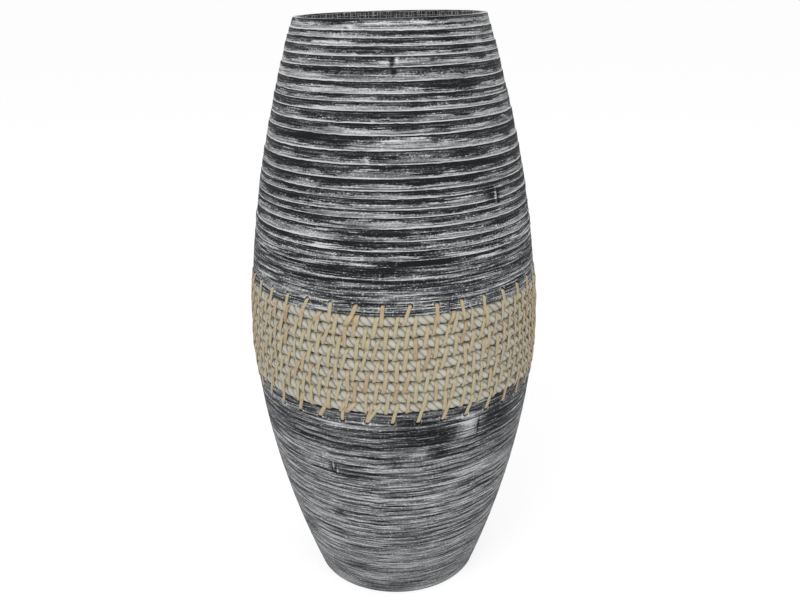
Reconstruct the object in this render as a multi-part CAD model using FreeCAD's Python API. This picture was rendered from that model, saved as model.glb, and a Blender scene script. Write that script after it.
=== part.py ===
import FreeCAD, Part
import math
import os

V = FreeCAD.Vector

# A wound bamboo floor vase with a rope band sewn round its belly.
# Millimetres, +Z up, origin at the middle of the circle that it stands on.
# The front, where the rope rows lie level, faces -Y.

# Outside form: one bulge, drawn in to the foot below and to the mouth above
vase_height = 600.0
belly_height = 284.0
foot_radius = 88.4
belly_radius = 149.2
rim_radius = 93.2
lower_curve_share = 1.75
upper_curve_share = 1.84

# Wound bamboo wall
wall_thickness = 8.0
lower_strip_count = 4
terrace_strip_turns = (4, 4, 5, 5, 4)
shoulder_height = 50.3
inside_steps_per_strip = 2
course_shares = (
    0.96, 0.86, 1.22, 1.03, 0.74, 1.01, 0.74, 1.10, 1.27, 1.27, 1.43,
    1.08, 1.07, 0.80, 0.71, 1.14, 1.24, 0.97, 0.87, 0.70, 0.70, 1.05,
)

# Mouth, cut a little out of level, and the gauze collar glued inside it
rim_slant = 2.6
lining_thickness = 0.8
glue_gap = 0.3

# Wound base
base_thickness = 9.0
base_recess_depth = 1.5
foot_ring_width = 16.0
foot_chamfer = 2.2

# Rope band in its turned recess
band_bottom = 247.6
rope_diameter = 10.35
rope_gap = 0.55
rope_rows = 9
rope_sides = 4
rope_proud = 1.2
rope_seat_gap = 0.3
seat_wall = 7.0

# Cane edge stitches and the holes that they pass
top_stitch_count = 37
bottom_stitch_count = 38
top_stitch_turn_degrees = -4.0
bottom_stitch_turn_degrees = -1.2
cane_width = 4.0
cane_thickness = 1.2
stitch_gap = 0.3
stitch_slant_degrees = 12.0
hole_offset = 9.5
hole_width = 5.2
hole_depth = 6.5
hole_sides = 4
overrun = 5.0

# Direction of the front, counted round +Z from +X
front_degrees = -90.0

# Worked out from the sizes above
row_pitch = rope_diameter + rope_gap
rope_radius = rope_diameter / 2
band_top = band_bottom + (rope_rows - 1) * row_pitch + rope_diameter
band_middle = (band_bottom + band_top) / 2
recess_bottom = band_bottom - rope_seat_gap
recess_top = band_top + rope_seat_gap
terrace_bottom = recess_top + shoulder_height


def wall_radius(z):
    """Outside radius of the finished wall at height z."""
    if z >= belly_height:
        reach = (z - belly_height) / (vase_height - belly_height)
        return belly_radius - (belly_radius - rim_radius) * reach ** upper_curve_share
    reach = (belly_height - z) / belly_height
    return belly_radius - (belly_radius - foot_radius) * reach ** lower_curve_share


def rope_line_radius(z):
    """Radius of the rope's centre line at height z, a little proud of the wall."""
    return wall_radius(z) + rope_proud - rope_radius


def seat_radius(z):
    """Radius of the recess floor that the rope is wound on."""
    return rope_line_radius(z) - rope_radius - rope_seat_gap


def inner_radius(z):
    """Largest inside radius at height z that leaves the wall its thickness."""
    if recess_bottom <= z <= recess_top:
        return min(seat_radius(recess_bottom), seat_radius(recess_top)) - seat_wall
    return wall_radius(z) - wall_thickness


def step_radius(low, high):
    """Inside radius of one level step of the winding."""
    return min(inner_radius(low), inner_radius(high))


def inside_steps(bottom, top):
    """Inside outline of a strip from its top down, stepped as the winding is."""
    rise = (top - bottom) / inside_steps_per_strip
    points = []
    for i in reversed(range(inside_steps_per_strip)):
        low = bottom + i * rise
        radius = step_radius(low, low + rise)
        points.append((radius, low + rise))
        points.append((radius, low))
    return points


def turned(outline):
    """Solid of revolution about Z from (radius, height) points."""
    points = [V(radius, 0, height) for radius, height in outline]
    points.append(points[0])
    return Part.Face(Part.makePolygon(points)).revolve(V(0, 0, 0), V(0, 0, 1), 360)


def around(shape, degrees):
    """A copy of a shape turned about the vase's axis."""
    copy = shape.copy()
    copy.rotate(V(0, 0, 0), V(0, 0, 1), degrees)
    return copy


def course_heights(bottom, top, count):
    """Uneven heights of the winding's turns, as hand-wound strips show."""
    shares = [course_shares[i % len(course_shares)] for i in range(count)]
    total = sum(shares)
    heights = [bottom]
    for share in shares:
        heights.append(heights[-1] + (top - bottom) * share / total)
    return heights


# Wall strips

def smooth_strip(bottom, top):
    """One sanded strip of the wall, a plain conical ring."""
    return turned([
        (wall_radius(bottom), bottom),
        (wall_radius(top), top),
        (inner_radius(top), top),
        (inner_radius(bottom), bottom),
    ])


def seat_strip(bottom, top):
    """One strip of the recess floor under the rope."""
    return turned([
        (inner_radius(bottom), bottom),
        (seat_radius(bottom), bottom),
        (seat_radius(top), top),
        (inner_radius(top), top),
    ])


def terrace_strip(heights):
    """One strip wound several turns, each turn set in behind the one below."""
    outline = []
    for bottom, top in zip(heights, heights[1:]):
        radius = (wall_radius(bottom) + wall_radius(top)) / 2
        outline.append((radius, bottom))
        outline.append((radius, top))
    return turned(outline + inside_steps(heights[0], heights[-1]))


def slanted_cut(shape):
    """Trim the mouth to its slightly slanted plane, low on the -X side."""
    reach = rim_radius + overrun
    low = vase_height - rim_slant * (rim_radius + reach) / (2 * rim_radius)
    high = vase_height + rim_slant * (reach - rim_radius) / (2 * rim_radius)
    side = Part.makePolygon([
        V(-reach, -reach, low),
        V(reach, -reach, high),
        V(reach, -reach, high + overrun + rim_slant),
        V(-reach, -reach, high + overrun + rim_slant),
        V(-reach, -reach, low),
    ])
    return shape.cut(Part.Face(side).extrude(V(0, 2 * reach, 0)))


def terrace_heights():
    """Heights of every turn's edge from the shoulder to the rim."""
    return course_heights(terrace_bottom, vase_height, sum(terrace_strip_turns))


def wall_strips():
    """Every strip of the wall from the base to the rim, bottom first."""
    strips = []
    rise = (recess_bottom - base_thickness) / lower_strip_count
    for i in range(lower_strip_count):
        bottom = base_thickness + i * rise
        strips.append(smooth_strip(bottom, bottom + rise))
    strips.append(seat_strip(recess_bottom, band_middle))
    strips.append(seat_strip(band_middle, recess_top))
    strips.append(smooth_strip(recess_top, terrace_bottom))
    heights = terrace_heights()
    first = 0
    for turns in terrace_strip_turns:
        strips.append(terrace_strip(heights[first:first + turns + 1]))
        first += turns
    strips[-1] = slanted_cut(strips[-1])
    return strips


# Base and mouth lining

def base_disc():
    """The flat wound middle of the coil, recessed so that it stands on its edge."""
    foot_inside = foot_radius - foot_ring_width
    return turned([
        (0, base_recess_depth),
        (foot_inside, base_recess_depth),
        (foot_inside, 0),
        (foot_radius - foot_chamfer, 0),
        (wall_radius(foot_chamfer), foot_chamfer),
        (wall_radius(base_thickness), base_thickness),
        (0, base_thickness),
    ])


def gauze_lining():
    """The thin gauze collar glued against the uppermost step inside the mouth."""
    heights = terrace_heights()
    strip_bottom = heights[-1 - terrace_strip_turns[-1]]
    bottom = vase_height - (vase_height - strip_bottom) / inside_steps_per_strip
    outside = step_radius(bottom, vase_height) - glue_gap
    top = vase_height - rim_slant - glue_gap
    return turned([
        (outside - lining_thickness, bottom),
        (outside, bottom),
        (outside, top),
        (outside - lining_thickness, top),
    ])


# Rope band

def rope_row_height(row):
    """Height of the centre line of one row of rope, the lowest being row 0."""
    return band_bottom + rope_radius + row * row_pitch


def rope_arcs():
    """Level half turns in front joined by climbing half turns behind."""
    arcs = []
    for row in range(rope_rows):
        z = rope_row_height(row)
        radius = rope_line_radius(z)
        arcs.append(Part.Arc(V(-radius, 0, z), V(0, -radius, z), V(radius, 0, z)))
        if row < rope_rows - 1:
            rise = rope_row_height(row + 1)
            after = rope_line_radius(rise)
            crown = V((radius - after) / 2, (radius + after) / 2, (z + rise) / 2)
            arcs.append(Part.Arc(V(radius, 0, z), crown, V(-after, 0, rise)))
    return arcs


def rope_band():
    """One unbroken rope, pulled round the recess in nine rows."""
    arcs = rope_arcs()
    start = arcs[0].StartPoint
    roll = (rope_rows - 1) * row_pitch / wall_radius(band_middle) / 2
    corners = []
    for i in range(rope_sides):
        angle = 2 * math.pi * i / rope_sides - roll
        corners.append(start + V(-math.cos(angle), 0, math.sin(angle)) * rope_radius)
    corners.append(corners[0])
    sweep = Part.BRepOffsetAPI.MakePipeShell(Part.Wire([arc.toShape() for arc in arcs]))
    sweep.add(Part.makePolygon(corners), False, False)
    sweep.build()
    sweep.makeSolid()
    rope = sweep.shape()
    if rope.Volume < 0:
        rope.reverse()
    report_rope(arcs, rope)
    return rope


def report_rope(arcs, rope):
    """Print the rope's length, its least gap to itself and its section check."""
    samples = 60
    points = []
    for arc in arcs:
        edge = arc.toShape()
        points.append(edge.discretize(samples + 1)[:-1])
    least = min(
        (a - b).Length
        for first, second in zip(points, points[2:])
        for a, b in zip(first, second)
    )
    length = sum(arc.length() for arc in arcs)
    section = rope_sides * rope_radius ** 2 * math.sin(2 * math.pi / rope_sides) / 2
    print("rope length", round(length, 1), "mm")
    print("rope least gap to itself", round(least - rope_diameter, 3), "mm")
    print("rope volume over section times length", round(rope.Volume / (section * length), 4))


# Edge stitches

def edge_row_height(angle, upper):
    """Height of the band's top or bottom rope at an angle from +X."""
    climb = 0
    if 0 < angle < math.pi:
        climb = row_pitch * (1 - math.cos(angle)) / 2
    if upper:
        fall = row_pitch - climb if 0 < angle < math.pi else 0
        return rope_row_height(rope_rows - 1) - fall
    return rope_row_height(0) + climb


def hole_height(upper):
    """Height of the stitch holes above or below the band."""
    return band_top + hole_offset if upper else band_bottom - hole_offset


def edge_stitch(angle, upper):
    """A flat cane from its hole, out over the edge rope and in behind it."""
    way = 1 if upper else -1
    row = edge_row_height(angle, upper)
    hole = hole_height(upper)
    crest = rope_line_radius(row) + rope_radius + stitch_gap
    mouth = wall_radius(hole) + stitch_gap
    root = wall_radius(hole) - hole_depth + glue_gap
    near = rope_radius / 2
    half = cane_thickness / 2
    outline = [
        (root, hole - way * half),
        (mouth, hole - way * half),
        (crest, row + way * near),
        (crest, row - way * near),
        (crest + cane_thickness, row - way * near),
        (crest + cane_thickness, row + way * near),
        (mouth + cane_thickness, hole + way * half),
        (root, hole + way * half),
    ]
    points = [V(radius, -cane_width / 2, z) for radius, z in outline]
    points.append(points[0])
    strip = Part.Face(Part.makePolygon(points)).extrude(V(0, cane_width, 0))
    strip.rotate(V(0, 0, hole), V(1, 0, 0), -stitch_slant_degrees)
    return around(strip, math.degrees(angle))


def stitch_angles(upper):
    """Even places round one edge of the band, the first one beside the front."""
    count = top_stitch_count if upper else bottom_stitch_count
    turn = top_stitch_turn_degrees if upper else bottom_stitch_turn_degrees
    first = math.radians(front_degrees + turn)
    return [(first + 2 * math.pi * i / count) % (2 * math.pi) for i in range(count)]


def edge_stitches(upper):
    """All the stitches of one edge, as a group of separate canes."""
    return Part.makeCompound([edge_stitch(angle, upper) for angle in stitch_angles(upper)])


def stitch_holes(upper):
    """The blind holes of one edge, bored towards the axis for the ends of the canes."""
    z = hole_height(upper)
    start = wall_radius(z) - hole_depth
    reach = hole_width / 2 / math.cos(math.pi / hole_sides)
    corners = []
    for i in range(hole_sides):
        angle = 2 * math.pi * (i + 0.5) / hole_sides
        corners.append(V(start, reach * math.cos(angle), z + reach * math.sin(angle)))
    corners.append(corners[0])
    depth = wall_radius(z) + overrun - start
    bore = Part.Face(Part.makePolygon(corners)).extrude(V(depth, 0, 0))
    return Part.makeCompound([around(bore, math.degrees(angle)) for angle in stitch_angles(upper)])


# The whole vase

def build():
    """Every node's name and shape."""
    nodes = {}
    strips = wall_strips()
    strips[lower_strip_count - 1] = strips[lower_strip_count - 1].cut(stitch_holes(False))
    shoulder = lower_strip_count + 2
    strips[shoulder] = strips[shoulder].cut(stitch_holes(True))
    for i, strip in enumerate(strips):
        nodes["wall_strip_%02d" % (i + 1)] = strip
    nodes["base_disc"] = base_disc()
    nodes["gauze_lining"] = gauze_lining()
    nodes["rope_band"] = rope_band()
    nodes["top_edge_stitches"] = edge_stitches(True)
    nodes["bottom_edge_stitches"] = edge_stitches(False)
    return nodes


os.makedirs("parts", exist_ok=True)
for name, shape in build().items():
    print(name, "valid" if shape.isValid() else "NOT VALID", len(shape.Solids), round(shape.Volume))
    shape.exportStep("parts/%s.step" % name)
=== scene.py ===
import math

import bpy
import numpy as np
from mathutils import Matrix, Vector


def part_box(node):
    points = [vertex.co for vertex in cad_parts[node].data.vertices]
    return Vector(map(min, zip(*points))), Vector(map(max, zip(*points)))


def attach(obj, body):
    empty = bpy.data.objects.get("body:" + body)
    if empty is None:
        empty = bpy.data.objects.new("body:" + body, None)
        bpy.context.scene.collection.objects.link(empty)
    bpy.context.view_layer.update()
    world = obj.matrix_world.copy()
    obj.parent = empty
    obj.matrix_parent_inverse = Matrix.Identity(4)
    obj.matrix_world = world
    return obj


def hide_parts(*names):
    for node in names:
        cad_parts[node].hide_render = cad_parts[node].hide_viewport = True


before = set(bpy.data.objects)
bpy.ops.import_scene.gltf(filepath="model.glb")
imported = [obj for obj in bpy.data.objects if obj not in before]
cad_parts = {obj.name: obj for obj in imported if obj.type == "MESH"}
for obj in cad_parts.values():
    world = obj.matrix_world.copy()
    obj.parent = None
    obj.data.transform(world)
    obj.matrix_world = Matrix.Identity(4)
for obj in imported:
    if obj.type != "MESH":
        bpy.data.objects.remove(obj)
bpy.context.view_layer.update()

# The wound bamboo vase, dressed: a stepped and brushed wall, twisted rope and cane stitches.
# Metres, in the CAD's frame. Angles run round +Z from +X, so the front is at 270 degrees.

MM = 0.001
TAU = 2 * math.pi
FRONT = 1.5 * math.pi
SEED = 7

# Outside form, as in the CAD
VASE_HEIGHT = 600 * MM
BELLY_HEIGHT = 284 * MM
FOOT_RADIUS = 88.4 * MM
BELLY_RADIUS = 149.2 * MM
RIM_RADIUS = 93.2 * MM
LOWER_POWER = 1.75
UPPER_POWER = 1.84
WALL_THICKNESS = 8 * MM
RIM_SLANT = 2.6 * MM

# Rope band, as in the CAD, but a little less proud of the wall
ROPE_ROWS = 9
ROPE_RADIUS = 10.35 * MM / 2
ROW_PITCH = 10.9 * MM
ROPE_PROUD = 0.7 * MM
BAND_BOTTOM = 247.6 * MM
BAND_TOP = BAND_BOTTOM + (ROPE_ROWS - 1) * ROW_PITCH + 2 * ROPE_RADIUS
ROPE_END = (2 * ROPE_ROWS - 1) * math.pi

# Twist of the rope: strands' sizes in rope radii, and the angles of the points round each strand
ROPE_LAY = 25 * MM
STRANDS = 3
STRAND_SHARE = 0.76
STRAND_REACH = 0.26
ROPE_FILL = 1.035
LOBE_ANGLES = (-60, -51, -28, 0, 28, 51)
ROPE_STEP = 1.6 * MM

# Straying of the rope, and its tapered and sunk ends
ROPE_SWAY = 0.18 * MM
ROPE_PUSH = 0.22 * MM
TAIL_TURN = 0.8 * math.pi
TAIL_SIZE = 0.94
TAIL_SINK = 0.5 * ROPE_RADIUS

# Stitch holes, their mesh in steps and hole radii, and the bare rim and dust round them
HOLE_RADIUS = 2.6 * MM
HOLE_DEPTH = 6 * MM
HOLE_OFFSET = 9.5 * MM
HOLE_STEPS = 4
COLUMNS_BETWEEN = 11
HOLE_LIP = 1.4
HOLE_EASE = 1.8
BORE_START = 0.9
BORE_SIZE = 0.97
BARE_START = 0.85
DUST_PLACE = 1.3
DUST_WIDTH = 0.18

# Each edge's holes: height, how many, and the first one's angle from the front
TOP_HOLES = (BAND_TOP + HOLE_OFFSET, 37, math.radians(-4.0))
BOTTOM_HOLES = (BAND_BOTTOM - HOLE_OFFSET, 38, math.radians(-1.2))

# How far the edge stitches in view lean, counted on from the first one, those before it last
TOP_LEANS = ((5, 20, -3, -9, -3, -12, -3, 10), (22, 5, 27, 13, 14, 8))
BOTTOM_LEANS = ((15, 16, 19, 21, 20, 15, 15), (17, 8, 31, 18, 10))
DOUBLED_STITCH = -1
DOUBLED_LEAN = 34
OTHER_LEANS = (13, 8)

# Cane: its size, its section in half widths and thicknesses with each point's place in the
# paint, its tones with their shares, and the red spots at a bend
CANE_WIDTH = 3.8 * MM
CANE_THICKNESS = 0.8 * MM
CANE_CLEAR = 0.1 * MM
CANE_SECTION = ((-1, -0.3), (-0.86, 0.35), (-0.35, 0.62), (0.35, 0.62),
                (0.86, 0.35), (1, -0.3), (0.5, -0.5), (-0.5, -0.5))
CANE_ACROSS = np.array([0, 0.1, 0.35, 0.65, 0.9, 1.0, 1.2, 1.4, 1.6])
CANE_SAMPLES = 4
CANE_TONES = (0.16, 0.36, 0.56)
TONE_SHARES = (0.46, 0.43, 0.11)
TONE_SPREAD = 0.08
SPOTS = (0.0, 0.6, -0.6)
SPOT_SHARES = (0.90, 0.06, 0.04)
SPOT_REACH = 0.22

# Way of an edge stitch: out of its hole, over the wall, round the edge row, in behind it
END_DEPTH = 5 * MM
END_LIFT = 0.7 * MM
MOUTH_DEPTH = 1.1 * MM
MOUTH_LIFT = 0.3 * MM
BEND_LENGTH = 1.6 * MM
WALL_CLEAR = 0.1 * MM
LIP_HEIGHT = 1.2 * MM
EDGE_ANGLES = (30, 5, -20, -45, -70, -90)
EDGE_TUCK = 3 * MM
EDGE_WIDTHS = (0.9, 1.12)

# Stitches over two inner rows: how many, how they vary, and where they start and end
ROW_STITCHES_PER_TURN = 49.5
ROW_START = math.radians(4)
ROW_OVERRUN = 0.55 * math.pi
ROW_STRAY = 0.9 * MM
ROW_LEANS = (11, 5)
ROW_LIFT = 0.15
ROW_HOOKS = (0.2, 2.0)
HOOK_EASE = 0.4
ROW_END_SHIFT = 0.2 * MM
ROW_WIDTHS = (0.78, 1.1)
TUCK = 3.2 * MM
TUCK_ANGLE = 80
PIECE_STITCHES = 50

# Short canes round one row: the way round the rope, the lift, and for each cane its degrees to
# the right of the front, row from 0, lean and width in mm
WRAP_ANGLES = (84, 55, 25, 0, -25, -55, -84)
WRAP_LIFT = 1.6 * CANE_THICKNESS
WRAPS = (
    (-16.5, 8, 30, 4.6), (-13.5, 8, 12, 4.4), (-29, 8, 34, 3.6), (-22, 6, -14, 3.4),
    (-9.5, 6, 6, 4.2), (21, 8, 24, 3.8), (-16.5, 0, 40, 4.2), (-19.5, 0, 28, 3.4),
    (9, 3, 8, 3.2), (35, 5, 18, 3.8), (-38, 3, 22, 3.6), (74, 2, 14, 3.8),
    (120, 6, 18, 4.0), (165, 1, 10, 3.6), (214, 4, 26, 3.8), (262, 7, 16, 4.2),
)

# Mesh of the wall, and the angles that count as sharp
COLUMNS = 960
ROW_STEP = 0.9 * MM
SEAT_ROWS = 12
SMOOTH_ANGLE = 40
FINE_SMOOTH_ANGLE = 50

# Stepped turns: rows up a turn's face, its lean as a share of the taper, and its unevenness
FACE_SHARES = (0.0, 0.05, 0.14, 0.26, 0.4, 0.54, 0.68, 0.8, 0.9, 0.965, 1.0)
FACE_SEEDS = 20
TILT_SHARE = 0.8
TURN_WOBBLE = 0.22 * MM
FACE_RELIEF = 0.10 * MM
EDGE_STRAY = 0.30 * MM
EDGE_CHIP = 0.10 * MM
EDGE_ROUND = 0.25 * MM
EDGE_ROUND_START = 0.9
STEP_REACH = 4 * MM

# The rim: its plane, its rounding, and the part of a turn's paint that shows below it
RIM_LIFT = 0.3 * MM
RIM_TILT_RIGHT = 1.2 * MM
RIM_TILT_BACK = 0.3 * MM
RIM_ROUND = 0.35 * MM
RIM_ROUND_START = 0.2
RIM_ZONE = 5 * MM
TOP_TURN_SHOWN = 0.72

# Sanded wall
SANDED_PITCH = 6.2 * MM
SANDED_RELIEF = 0.07 * MM
SANDED_EASE = 2 * MM
SEAT_GAP = 0.35 * MM

# Base
BASE_COLUMNS = 360
BASE_PITCH = 2.2 * MM
GROOVE_DEPTH = 0.22 * MM
RECESS_DEPTH = 1.5 * MM
RING_INSIDE = 72.4 * MM
FOOT_CHAMFER = 2.2 * MM

# Gauze
THREAD_RADIUS = 0.34 * MM
THREAD_SPACING = 3.0 * MM
THREAD_SIDES = 6
THREAD_STRAY = 0.3 * MM
POST_STRAY = 0.009
POST_BEAT = 2.3
WEAVE_DEPTH = 0.12 * MM
GAUZE_INSET = 0.45 * MM
GAUZE_BELOW_RIM = 0.9 * MM

# Waves round the axis: seed, lowest and highest count, and how the high ones fall off
TURN_WAVE = (100, 2, 16, 0.8)
EDGE_WAVE = (300, 1, 5, 0.6)
CHIP_WAVE = (340, 12, 90, 0.3)
FACE_WAVE = (500, 6, 90, 0.3)
SANDED_WAVE = (5000, 5, 60, 0.4)
COURSE_WAVE = (60, 1, 6, 0.8)
COURSE_FRAY = (61, 7, 40, 0.5)
SWAY_WAVE = (40, 20, 160, 0.3)
PUSH_WAVE = (41, 20, 160, 0.3)
THREAD_WAVE = (900, 3, 30, 0.5)

# Paint against height in metres: how white, how strong in its strokes, how stepped, how jointed
WASH = ((0.0, 0.60), (0.05, 0.60), (0.12, 0.61), (0.19, 0.58), (0.235, 0.46),
        (0.30, 0.49), (0.37, 0.43), (0.44, 0.33), (0.50, 0.38), (0.60, 0.50))
CONTRAST = ((0.0, 0.85), (0.05, 0.95), (0.12, 1.15), (0.235, 1.15),
            (0.30, 1.6), (0.37, 1.5), (0.44, 0.9), (0.50, 0.8), (0.60, 0.8))
TERRACE = ((0.345, 0.0), (0.385, 0.1), (0.393, 0.85), (0.41, 1.0))
JOINT = ((0.03, 0.4), (0.10, 0.8), (0.20, 1.0), (0.24, 0.6), (0.35, 0.4), (0.39, 0.5), (0.40, 0.0))
COURSE_STRAYS = (0.35, 0.10)
HIDDEN_CONTRAST = 0.4

# Paint band of hidden faces: turn, and place up the turn at a row and the next one
INSIDE_BAND = (0, 0.7, 0.7)
SEAT_BAND = (0, 0.8, 0.8)
UNDERSIDE_BAND = (0, 0.6, 0.6)
FOOT_BAND = (1, 0.5, 0.5)

# How white hidden faces are
INSIDE_WHITE = 0.12
JOINT_WHITE = 0.2
# The rim's top is darkened towards this inner edge: dark paint, and painted shade so that the up-facing top
# shows no lighter than the wall
RIM_EDGE_WHITE = 0.16
UNDER_RIM_WHITE = 0.3
UNDER_RIM_DEPTH = 2 * MM
SEAT_WHITE = 0.3
UNDERSIDE_WHITE = 0.34

# Noise of the paint, for its patches, strokes, lines, threads, fibres and specks: waves a metre
# round and up the wall, detail, roughness and shift
PAINT_NOISES = ((11, 70, 3.0, 0.6, 0.0), (19, 400, 3.0, 0.6, 4.0), (17, 680, 2.0, 0.5, 13.0),
                (21, 780, 2.0, 0.5, 21.0), (70, 1250, 2.0, 0.6, 9.0), (520, 820, 2.0, 0.6, 2.0))

# Colours along each material's ramp, as in a picture
PAINT_SHADES = ((0.0, (20, 21, 24)), (0.2, (45, 46, 50)), (0.45, (94, 95, 97)),
                (0.7, (145, 147, 148)), (0.9, (183, 184, 185)), (1.0, (210, 210, 211)))
BARE_SHADES = ((0.0, (34, 22, 17)), (1.0, (96, 72, 50)))
ROPE_SHADES = ((0.0, (106, 94, 74)), (0.35, (158, 152, 137)), (0.65, (186, 183, 171)), (1.0, (208, 206, 197)))
CANE_SHADES = ((0.0, (178, 170, 139)), (0.35, (180, 164, 132)), (0.65, (174, 151, 119)),
               (0.88, (160, 129, 97)), (1.0, (162, 104, 76)))
# Brown at the canes' edges, also painted shade along them
CANE_EDGE_AND_SHADE = (138, 108, 74)
GAUZE_SHADES = ((0.0, (72, 74, 78)), (0.5, (150, 152, 155)), (1.0, (214, 215, 218)))

# Patches, marks and flaws seen on the wall, and a few marks of painted shade: degrees to the right of the
# front, height, half width, half height and lift in mm, and how much whiter
MARK_EDGE = 1.4
MARKS = (
    # The first two marks darken the top of the rim at the back and the front: its dark paint, and painted
    # shade so that the up-facing top shows no lighter than the wall
    (180, 599.5, 130, 2.5, 0, -0.4), (0, 599.5, 120, 1.2, 0, -0.3), (-6, 597, 40, 3.5, 0, 0.42),
    (20, 594.2, 76, 0.8, -0.25, -0.42), (-30, 597, 26, 2.5, 0, -0.25), (42, 597, 26, 3, 0, 0.45),
    (-41, 589, 26, 3, 0, -0.14), (-24, 591, 3, 2, -0.8, -0.5), (-22, 593.5, 5, 1.2, 0.3, 0.5),
    (-25.5, 589.5, 1.2, 2.5, 0.2, 0.4), (-40, 568, 10, 5, 0, -0.18), (-27, 561, 38, 4, 0, -0.22),
    (0.5, 564, 2.4, 5, 1.2, -0.6), (1.5, 556, 2, 3, 0.6, -0.5), (-4, 564, 6, 1.4, 0.3, 0.35),
    (3, 566.5, 1.4, 2.5, 0.5, 0.4), (1.5, 560, 1, 1.5, 0.3, 0.6),

    (-14, 541, 44, 4, 0, 0.16), (34, 542, 32, 4, 0, -0.22), (62, 540, 2.5, 2.5, 0.5, 0.25),
    (-30, 525, 26, 5, 0, 0.16), (6, 516, 24, 5, 0.2, -0.08), (-29, 500, 50, 4, 0, -0.14),
    (8, 498, 26, 4, 0, 0.12), (-10, 482, 2.5, 4, -0.6, 0.3), (21, 474, 2.2, 2.2, 0.4, 0.3),
    (-3, 476, 24, 7, 0, -0.2), (-25, 459, 22, 3, 0.2, 0.16), (43.2, 444, 8, 6, -0.3, -0.42),
    (45.3, 444, 1.3, 6.5, 1.4, 0.8), (46.9, 442, 2.2, 6, -0.5, -0.5), (54, 430, 18, 9, 0, 0.22),
    (-31, 414, 24, 5, 0, 0.16), (-17, 412, 26, 5, 0, -0.16), (21, 410, 26, 5, 0, 0.14),
    (7, 391, 36, 6, 0, -0.28), (-29, 389, 34, 6, 0, -0.24), (-42, 381, 20, 5, 0, 0.2),
    # The white line at 379.5 mm rides on a slight rise; the dark line at 376.6 mm just under it is painted
    # shadow of that rise, as under a ledge
    (-8, 379.5, 90, 1.1, 0.25, 0.7), (-8, 376.6, 90, 1.5, -0.15, -0.42), (-14, 386, 46, 5.5, 0, -0.4),
    (14, 392, 40, 3.5, 0, -0.3), (-5, 383, 0.8, 3, 0.4, 0.4), (-3.9, 383, 0.8, 3, -0.4, -0.4),
    (-20, 362, 24, 3, 0, -0.25), (0, 361, 34, 4, 0, 0.2), (26, 368, 30, 4, 0, -0.25),
    (-36, 357, 34, 9, 0, 0.12), (26, 354, 40, 5, 0, 0.1),

    (29, 226, 11, 13, 0.5, 0.3), (33.9, 221, 1.3, 9, -0.9, -0.6), (43, 222, 22, 15, 0, -0.36),
    (10, 221, 34, 9, 0, -0.36), (17, 203, 12, 9, 0, -0.4), (4, 208, 26, 5, 0, -0.2),
    (-18, 232, 30, 5, 0, 0.2), (0, 189, 8, 4, 0, -0.35), (-35, 213, 34, 5, 0, -0.22),
    (-12, 209, 30, 5, 0, -0.2), (-38, 176, 30, 12, 0, 0.12), (-26.3, 178, 4.5, 8, -0.6, -0.5),
    (-26.4, 181, 1.1, 5, 1.2, 0.9), (-24.9, 176, 1, 4, 0.6, 0.7), (-28, 118, 8, 6, 0, -0.35),
    (-22, 140, 20, 9, 0, -0.12), (18, 158, 44, 14, 0, 0.1), (5, 84, 30, 12, 0, -0.12),
    (-40, 84, 26, 24, 0, 0.1), (6, 16, 20, 5, 0, -0.14), (0, 0.5, 400, 2, 0, -0.35),
)

# Studio: lamps with place, side and power, the light all round, and the floor
LAMPS = (("key", (-1.3, -2.2, 2.0), 1.8, 38), ("fill", (1.8, -1.8, 1.2), 1.6, 14))
LAMP_AIM = (0, 0, 0.3)
WORLD_LIGHT = 0.62
FLOOR_HALF = 40
FLOOR_WHITE = 0.8
FLOOR_SEEN = 0.35
FLOOR_GLOW = 0.765


# Small helpers

def wall_radius(z):
    """Outside radius of the finished wall, as in the CAD."""
    z = np.asarray(z, dtype=float)
    above = np.clip((z - BELLY_HEIGHT) / (VASE_HEIGHT - BELLY_HEIGHT), 0, None)
    below = np.clip((BELLY_HEIGHT - z) / BELLY_HEIGHT, 0, None)
    upper = BELLY_RADIUS - (BELLY_RADIUS - RIM_RADIUS) * above ** UPPER_POWER
    lower = BELLY_RADIUS - (BELLY_RADIUS - FOOT_RADIUS) * below ** LOWER_POWER
    return np.where(z >= BELLY_HEIGHT, upper, lower)


def rim_height(theta, radius):
    """Height of the slightly slanted rim plane, lowest at the front left."""
    tilt = RIM_TILT_RIGHT * np.cos(theta) + RIM_TILT_BACK * np.sin(theta)
    return VASE_HEIGHT + RIM_LIFT + tilt * radius / RIM_RADIUS


def wave(theta, kind, number=0):
    """Smooth closed wobble round the axis, about one unit deep."""
    seed, low, high, fall = kind
    rng = np.random.default_rng(SEED * 1000 + seed + number)
    total = np.zeros_like(theta)
    power = 0.0
    for n in range(low, high + 1):
        size = n ** -fall
        total += size * np.cos(n * theta + rng.uniform(0, TAU))
        power += size * size / 2
    return total / math.sqrt(power)


def smooth(low, high, value):
    """Smooth step from 0 at low to 1 at high."""
    t = np.clip((value - low) / (high - low), 0, 1)
    return t * t * (3 - 2 * t)


def against(z, pairs):
    """Value at a height, between (height, value) pairs."""
    heights, values = zip(*pairs)
    return np.interp(z, heights, values)


def polar(radius, theta, z):
    """Points at a radius, angle and height."""
    x, y, z = np.broadcast_arrays(radius * np.cos(theta), radius * np.sin(theta), z)
    return np.stack([x, y, z], axis=-1)


def unit(vectors):
    """The same vectors, each one long."""
    return vectors / np.linalg.norm(vectors, axis=1)[:, None]


def path_length(points):
    """Length of the way up to each point."""
    return np.concatenate([[0], np.cumsum(np.linalg.norm(np.diff(points, axis=0), axis=1))])


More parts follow.
